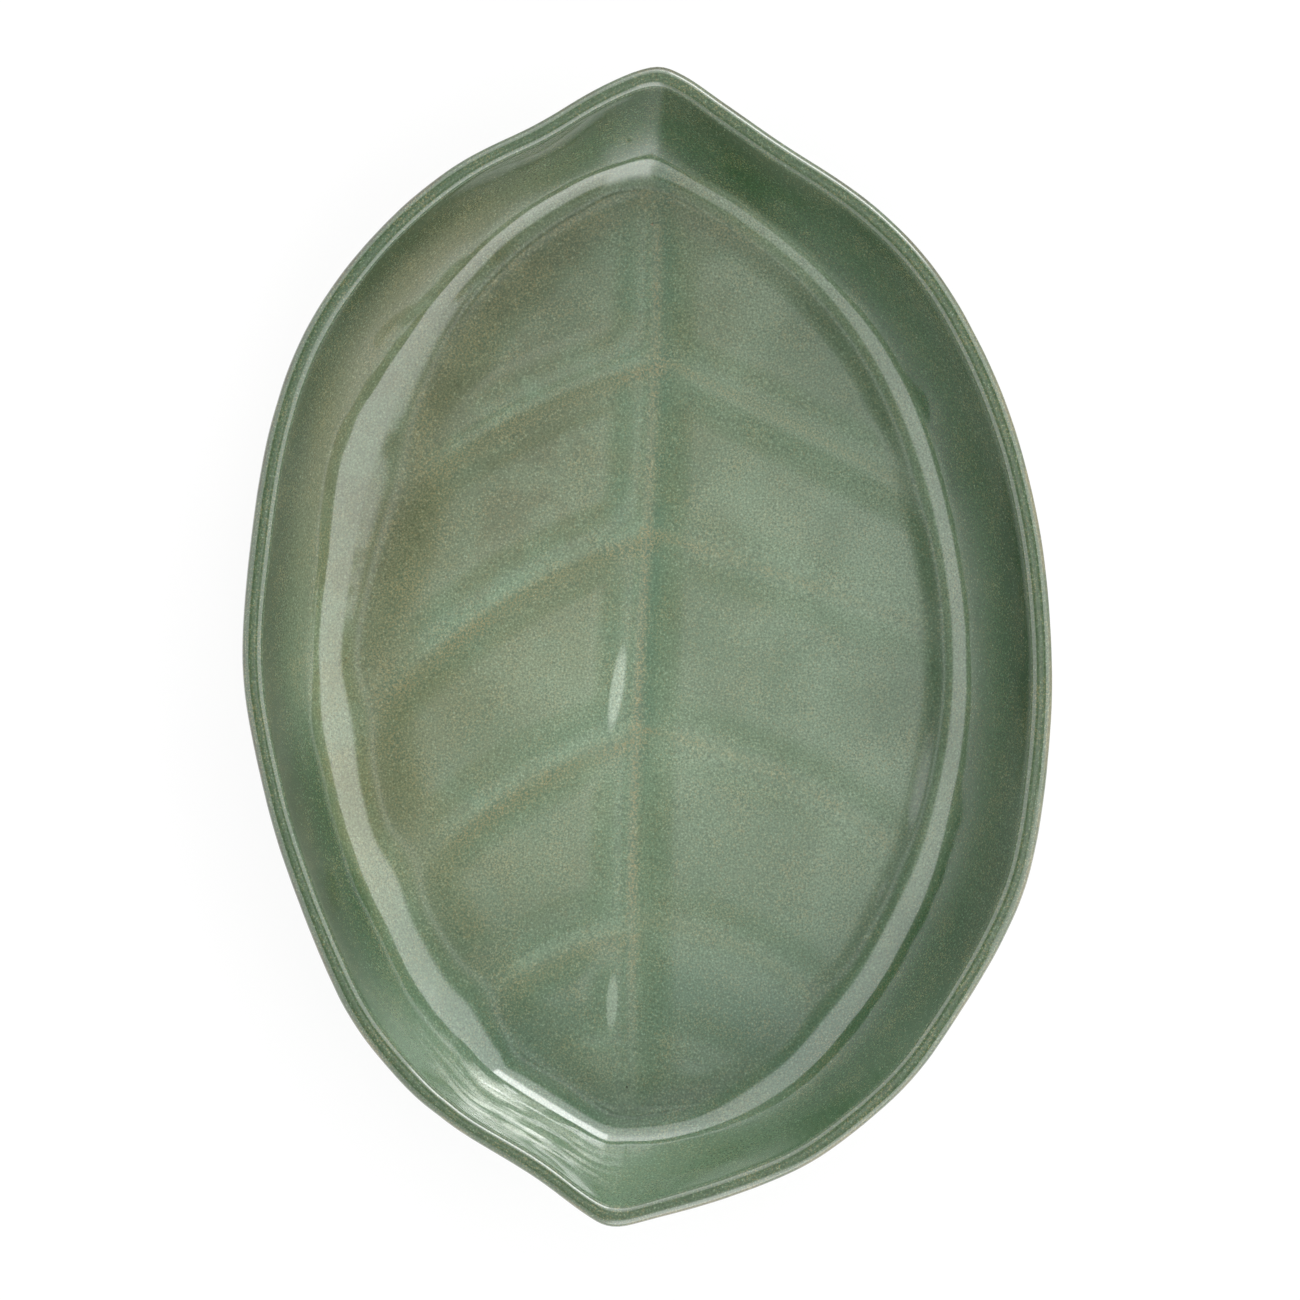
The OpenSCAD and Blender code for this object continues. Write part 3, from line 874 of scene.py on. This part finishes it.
def dishGlaze():
    material, shader, place = newMaterial("reactiveGlaze")
    colour, marks, cloth = glazeColour(place, seed=1.0)
    x, y, z = split(place)
    read = {"x": x, "y": y, "z": z, "Height": marks["Height"]}
    read.update({label: cloth[label] for label in clouds})
    for label in ("ridge", "pool", "crestHighlight", "groove", "edgeGap", "rimPlace", "streaks"):
        read[label] = readAttribute(label)
    rimPlace = read["rimPlace"]

    def mask(*parts):
        values = [remap(read[p[0]], *p[1:]) if isinstance(p, tuple) else read.get(p, p) for p in parts]
        return times(*values)

    def lay(colour, label, *parts):
        return mixColour(mask(*parts), colour, glazeLook[label])

    fromBrown = minus(read["edgeGap"], mask(*masks["brownShift"]))
    read["brownEdge"] = remap(maths("ABSOLUTE", fromBrown), *measures["brownEdge"])
    for layer in leafLayers:
        colour = lay(colour, *layer)

    read["slant"] = plus(x, times(y, measures["slant"]))
    read["sides"] = maths("ABSOLUTE", x)
    read["shadiest"] = larger(mask(*masks["shadeLow"]), mask(*masks["shadeHigh"]))
    wallTone = glazeLook["wall"]
    for layer in wallLayers:
        wallTone = lay(wallTone, *layer)
    low = mask(*masks["wallFoot"])
    read["wallShare"] = remap(z, low, plus(low, measures["wallRise"]))
    colour = mixColour(mask(*masks["wall"]), colour, wallTone)

    read["rimOff"] = maths("ABSOLUTE", rimPlace)
    read["outerOff"] = maths("ABSOLUTE", plus(rimPlace, measures["outerEdge"]))
    read["cross"] = minus(x, y)
    colour = lay(colour, "rimTop", *masks["rimTop"])
    # thin brown glaze at the rim's outer edge, with painted light on the lower right and painted shade on the
    # upper left
    edgeTone = mixColour(mask(*masks["rimShadeSide"]), glazeLook["rimEdge"], glazeLook["rimBrown"])
    colour = mixColour(mask(*masks["rimEdge"]), colour, edgeTone)
    along, down = glazeLook["sheenStrokes"]
    drawn = combine(times(readAttribute("around"), along), times(rimPlace, down))
    read["sheenStrokes"] = noise(drawn, 1.0, detail=3.0, seed=9.0)  # strokes of painted reflection along the wall
    colour = lay(colour, "streak", *masks["streaksAndSheen"])
    # painted highlights beside the midrib, laid into the colour
    for atX, atY, slant, wide, tall, strength in glazeLook["glints"]:
        offY = minus(y, atY)
        offX = minus(minus(x, atX), times(offY, slant))
        off = squares(maths("DIVIDE", offX, wide), maths("DIVIDE", offY, tall))
        colour = mixColour(remap(off, *measures["glintEdge"], 0.0, strength), colour, glazeLook["glint"])
    feed(shader.inputs["Base Color"], addFlecks(colour, marks, *glazeLook["flecks"]))

    read["sum"] = plus(x, y)
    matt = mask(*masks["matt"])
    rough = remap(cloth["Blotch"], 0.0, 1.0, *glazeLook["roughness"])
    rough = plus(rough, times(read["ridge"], measures["ridgeRough"]))
    feed(shader.inputs["Roughness"], plus(rough, times(matt, measures["mattRough"])))
    thin = times(mask(*masks["thin"]), minus(1.0, mask(*masks["tip"])))
    thin = larger(larger(matt, mask(*masks["besideEdge"])), thin)
    coat = minus(1.0, times(thin, measures["thinCoat"]))
    feed(shader.inputs["Coat Weight"], coat)
    scale, fine, grain, depth = glazeLook["skin"]
    fine = times(noise(place, scale, detail=2.0, seed=4.0), fine)
    height = plus(fine, times(marks["Height"], grain))
    feed(shader.inputs["Normal"], bump(height, depth))
    shader.inputs["Coat Roughness"].default_value = 0.04
    shader.inputs["Coat IOR"].default_value = 1.5
    shader.inputs["IOR"].default_value = 1.5
    return material


def baseGlaze():
    material, shader, place = newMaterial("baseGlaze")
    colour, marks, cloth = glazeColour(place, seed=7.0)
    colour = mixColour(remap(cloth["Drift"], 0.0, 1.0, 0.1, 0.6), colour, glazeLook["wall"])
    feed(shader.inputs["Base Color"], addFlecks(colour, marks, *glazeLook["baseFlecks"]))
    feed(shader.inputs["Roughness"], remap(cloth["Blotch"], 0.0, 1.0, *glazeLook["roughness"]))
    scale, depth = glazeLook["baseSkin"]
    feed(shader.inputs["Normal"], bump(noise(place, scale, seed=8.0), depth))
    shader.inputs["Coat Weight"].default_value = 1.0
    shader.inputs["Coat Roughness"].default_value = 0.08
    return material


clayLook = {
    "body": tone(186, 166, 138),
    "toasted": tone(168, 140, 108),
    "grog": tone(206, 190, 164),
    "grogShare": 0.35,
    "speck": tone(92, 70, 50),
    "speckShare": 0.7,
    "worn": tone(150, 134, 112),
    "wornShare": (0.0012, 0.0001, 0.0, 0.6),  # by height over the table
    "wornRough": (0.0001, 0.0015, 0.55, 0.85),
    "roughness": (0.75, 0.9),
    "depth": 0.00012,
}


def bareClay(name, seed, worn):
    material, shader, place = newMaterial(name)
    grain = useGroup(clayGrain, Vector=place, Seed=seed)
    colour = mixColour(grain["Tone"], clayLook["toasted"], clayLook["body"])
    colour = mixColour(times(grain["Grog"], clayLook["grogShare"]), colour, clayLook["grog"])
    colour = mixColour(times(grain["Speck"], clayLook["speckShare"]), colour, clayLook["speck"])
    if worn:  # the face that slides on tables is polished and greyed
        z = split(place)["Z"]
        colour = mixColour(remap(z, *clayLook["wornShare"]), colour, clayLook["worn"])
        rough = remap(z, *clayLook["wornRough"])
    else:
        rough = remap(grain["Grog"], 0.0, 1.0, *clayLook["roughness"])
    feed(shader.inputs["Base Color"], colour)
    feed(shader.inputs["Roughness"], rough)
    feed(shader.inputs["Normal"], bump(grain["Height"], clayLook["depth"]))
    return material


# the pieces


def glazeAndClay():
    points, values, rings = skinPoints()
    skin = makePiece("skin", points, skinFaces(0, rings), values=values)
    glaze = dishGlaze()
    shaped = runTree(skin, reliefTree(glaze), relief)
    bpy.data.objects.remove(skin)
    outer = readArray(shaped.vertices, "co", 3).astype(float)
    normals = readArray(shaped.vertex_normals, "vector", 3).astype(float)
    labels = ("rimPlace", "edgeGap", "ridge", "pool", "crestHighlight", "groove", "streaks", "around")
    kept = {label: readArray(shaped.attributes[label].data, "value", 1).ravel() for label in labels}

    walls = rings - (net["floorRings"] - 1)
    perWall, perFloor = net["hidden"]
    coarse = np.concatenate([np.arange(0, walls, perWall), np.arange(walls, rings, perFloor)])
    pick = (coarse[:, None] * lineCount + lines).ravel()
    pick = np.concatenate([pick, np.arange(rings * lineCount, len(outer))])
    inner = outer[pick] - normals[pick] * dish["glaze"]
    inner[:lineCount, 2] = footHeight
    start = len(outer)
    edge = np.stack([start + lines, lines, linesAfter, start + linesAfter], axis=1)
    faces = np.concatenate([skinFaces(0, rings), skinFaces(start, len(coarse))[:, ::-1], edge])
    values = {label: np.concatenate([value, value[pick]]) for label, value in kept.items()}
    coat = makePiece("glaze", np.concatenate([outer, inner]), faces, glaze, values)

    under = inner[-net["halfLines"] :].copy()
    under[:, 2] = footHeight
    start = len(inner)
    base = np.stack([start + ends, lines, linesAfter, start + endsAfter], axis=1)
    faces = np.concatenate([skinFaces(0, len(coarse)), base])
    clay = bareClay("stoneware", seed=2.0, worn=False)
    body = makePiece("clayBody", np.concatenate([inner, under]), faces, clay)
    print("glaze and clay body:", len(coat.data.polygons), "and", len(body.data.polygons), "faces")
    return coat, body


foot = {"edge": 0.0009, "draft": 0.0005, "wobble": 0.00025, "edgeSteps": 5}


def footRing():
    rows = allRows[::2]
    start, way = onLoop(hollowLoop, rows), inward(rows)
    size, edge, draft = dish["footWidth"], foot["edge"], foot["draft"]
    turn = np.linspace(0, math.pi / 2, foot["edgeSteps"] + 1)
    outline = [(0.0, footHeight), (draft, footHeight * 0.5)]
    outline += [(draft + edge - edge * math.cos(t), edge - edge * math.sin(t)) for t in turn]
    outline += [(size / 2, 0.0)]
    outline += [(size - draft - edge + edge * math.sin(t), edge - edge * math.cos(t)) for t in turn]
    outline += [(size - draft, footHeight * 0.5), (size, footHeight)]
    n, rings = len(rows), len(outline)
    phase = np.arange(n) / n * 2 * math.pi
    sway = foot["wobble"] * (np.sin(phase * 5 + 1) + 0.6 * np.sin(phase * 11))
    points = []
    for a, z in outline:
        reach = dish["footInset"] + a + sway[:, None] * (z < footHeight)
        points.append(np.column_stack([start + way * reach, np.full(n, z)]))
    i = np.arange(n)
    after = (i + 1) % n
    faces = []
    for r in range(rings):
        low, high = r * n, (r + 1) % rings * n
        faces.append(np.stack([low + i, high + i, high + after, low + after], axis=1)[:, ::-1])
    clay = bareClay("footClay", seed=5.0, worn=True)
    ring = makePiece("footRing", np.concatenate(points), np.concatenate(faces), clay)
    print("foot ring:", len(ring.data.polygons), "faces")
    return ring


patch = {"edge": 0.0015, "edgeSteps": 4, "wobble": 0.0006, "rings": 10, "ringShares": (0.93, 0.1)}


def basePatch():
    inset = dish["footInset"] + dish["footWidth"] + dish["baseMargin"]
    phase = np.arange(lineCount) / lineCount * 2 * math.pi
    sway = patch["wobble"] * (np.sin(phase * 7 + 2) + 0.7 * np.sin(phase * 17 + 1) + 0.4 * np.sin(phase * 31))
    start, way = onLoop(hollowLoop, allRows), inward(allRows)
    rim = start + way * (inset + np.maximum(sway, -patch["wobble"]) + patch["wobble"])[:, None]
    root = midribPlace(allRows)

    def ringAt(places, height):
        return np.column_stack([places, np.full(lineCount, height)])

    rings = [ringAt(rim, footHeight)]
    for t in np.linspace(1 / patch["edgeSteps"], 1, patch["edgeSteps"]) * math.pi / 2:
        out = rim + way * patch["edge"] * (1 - math.cos(t))
        rings.append(ringAt(out, footHeight - (footHeight - underLevel) * math.sin(t)))
    for f in np.linspace(*patch["ringShares"], patch["rings"]):
        rings.append(ringAt(root + (out - root) * f, underLevel))
    last = ringAt(root, underLevel)[: net["halfLines"]]
    top = last.copy()
    top[:, 2] = footHeight
    start = len(rings) * lineCount + len(last)
    lid = np.stack([lines, start + ends, start + endsAfter, linesAfter], axis=1)
    faces = np.concatenate([skinFaces(0, len(rings))[:, ::-1], lid])
    piece = makePiece("basePatch", np.concatenate([*rings, last, top]), faces, baseGlaze())
    print("base glaze:", len(piece.data.polygons), "faces")
    return piece


coat, body = glazeAndClay()
ring = footRing()
under = basePatch()
for piece, node, slot in (
    (coat, "glaze_coat", "reactive_glaze"),
    (body, "clay_body", "bare_stoneware"),
    (ring, "foot_ring", "bare_stoneware"),
    (under, "base_glaze", "reactive_glaze"),
):
    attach(piece, "root")
    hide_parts(node)
print("pieces ride on the frame")

# the studio

studio = {
    "bright": (2.5, 0.35),  # the tent's middle level, and how much brighter it is on the right
    "ends": (2.6, 0.8, 3.0),  # extra light before and behind, and where it sets in and is full
    "endsNarrow": 4.0,
    "endsLeft": (-0.6, 0.05, 0.2, 1.0),  # how it fades towards the left
    "lowLeft": ((-0.3, -0.9), (-0.1, -0.4)),  # where the tent is darker: before, and to the left
    "dim": 0.1,  # the gap overhead, where the camera looks through
    "gap": (0.56, 0.8),  # how far the gap reaches, as the tangent of the angle off the vertical
    "overhead": (  # soft lights beside the camera: level, how far they fade, and their place
        (1.25, 0.26, 0.05, -0.01), (0.7, 0.45, 0.05, 0.0), (0.9, 0.45, 0.0, 0.38), (0.9, 0.45, 0.0, -0.36),
    ),
    "windows": (  # brighter patches: level, where they set in, how softly, their end, and the way to them
        (11.0, 1.5, 0.7, 6.0, 0.55, 0.84, 0.95, 0.975), (4.8, 0.15, 0.85, 9.0, 0.12, -0.993, 0.93, 0.985),
        (2.5, 0.1, 0.4, 0.9, 0.93, -0.37, 0.972, 0.995),
    ),
    "windowFade": 0.4,
    "floorTone": tone(238, 238, 238),
    "floorSize": 3.2,
    "floorWhite": (0.2, 0.8, 0.8, 1.0),  # how white it is seen, near the plate and away from it
}


def onlySeen():  # 1 for what the camera or a reflection sees
    path = addNode("ShaderNodeLightPath").outputs
    return larger(larger(path["Is Camera Ray"], path["Is Glossy Ray"]), path["Is Transmission Ray"])


def mixShaders(factor, a, b):
    return wire("ShaderNodeMixShader", {0: factor, 1: a, 2: b})


def makeFloor():
    material = bpy.data.materials.new("paleFloor")
    emptyTree(material)
    place = addNode("ShaderNodeTexCoord").outputs["Object"]
    away = wire("ShaderNodeVectorMath", {0: place}, "Value", operation="LENGTH")
    plain = wire("ShaderNodeBsdfDiffuse", {"Color": studio["floorTone"]})
    share = times(onlySeen(), remap(away, *studio["floorWhite"]))
    mixed = mixShaders(share, plain, addNode("ShaderNodeEmission").outputs[0])
    beneath = addNode("ShaderNodeNewGeometry").outputs["Backfacing"]  # open to a view from below
    surface = mixShaders(beneath, mixed, addNode("ShaderNodeBsdfTransparent").outputs[0])
    feed(addNode("ShaderNodeOutputMaterial").inputs["Surface"], surface)
    size = studio["floorSize"]
    corners = [(-size, -size, 0), (-size, size, 0), (size, size, 0), (size, -size, 0)]
    makePiece("floor", corners, [(0, 1, 2, 3)], material)


def makeWorld():  # a white tent with a gap overhead
    world = bpy.data.worlds.new("studio")
    emptyTree(world)
    x, y, z = split(addNode("ShaderNodeTexCoord").outputs["Generated"])
    up = larger(z, 0.02)
    across, along = maths("DIVIDE", x, up), maths("DIVIDE", y, up)
    side = larger(maths("ABSOLUTE", across), maths("ABSOLUTE", along))
    tent = remap(side, *studio["gap"])
    away = maths("SQRT", squares(across, along))
    atLeast = larger(away, 0.001)
    toRight, toTop = maths("DIVIDE", across, atLeast), maths("DIVIDE", along, atLeast)
    middle, brighter = studio["bright"]
    bright = plus(times(toRight, brighter), middle)
    extra, near, full = studio["ends"]
    forward = maths("POWER", maths("ABSOLUTE", toTop), studio["endsNarrow"])
    atEnds = times(forward, remap(away, near, full, 0.0, extra), remap(toRight, *studio["endsLeft"]))
    low, left = studio["lowLeft"]
    bright = minus(bright, times(remap(toTop, *low), remap(toRight, *left)))
    light = larger(times(tent, plus(bright, atEnds)), studio["dim"])
    for level, near, soft, far, atX, atY, rim, full in studio["windows"]:
        facing = plus(times(toRight, atX), times(toTop, atY))
        farEnd = remap(away, far, far + studio["windowFade"], level, 0.0)
        reach = times(remap(away, near, near + soft), farEnd)
        light = larger(light, times(remap(facing, rim, full), reach))
    for level, fade, atX, atY in studio["overhead"]:
        off = squares(minus(across, atX), minus(along, atY))
        light = larger(light, remap(maths("SQRT", off), 0.0, fade, level, 0.0))
    seen = addNode("ShaderNodeLightPath").outputs["Is Camera Ray"]  # the camera sees plain white
    plain = plus(times(seen, minus(1.0, light)), light)
    shade = addNode("ShaderNodeBackground")
    feed(shade.inputs["Strength"], plain)
    feed(addNode("ShaderNodeOutputWorld").inputs["Surface"], shade.outputs[0])
    bpy.context.scene.world = world


view = {"distance": 1.2, "frameWidth": 0.3297, "sensor": 36.0, "aside": (0.00076, -0.00076)}


def makeCamera():
    data = bpy.data.cameras.new("camera")
    data.sensor_width = view["sensor"]
    data.lens = view["sensor"] * view["distance"] / view["frameWidth"]
    camera = bpy.data.objects.new("camera", data)
    camera.location = (*view["aside"], plateHeight + view["distance"])
    bpy.context.scene.collection.objects.link(camera)
    bpy.context.scene.camera = camera


makeFloor()
makeWorld()
makeCamera()
bpy.context.scene.view_settings.view_transform = "Standard"
print("studio is set")
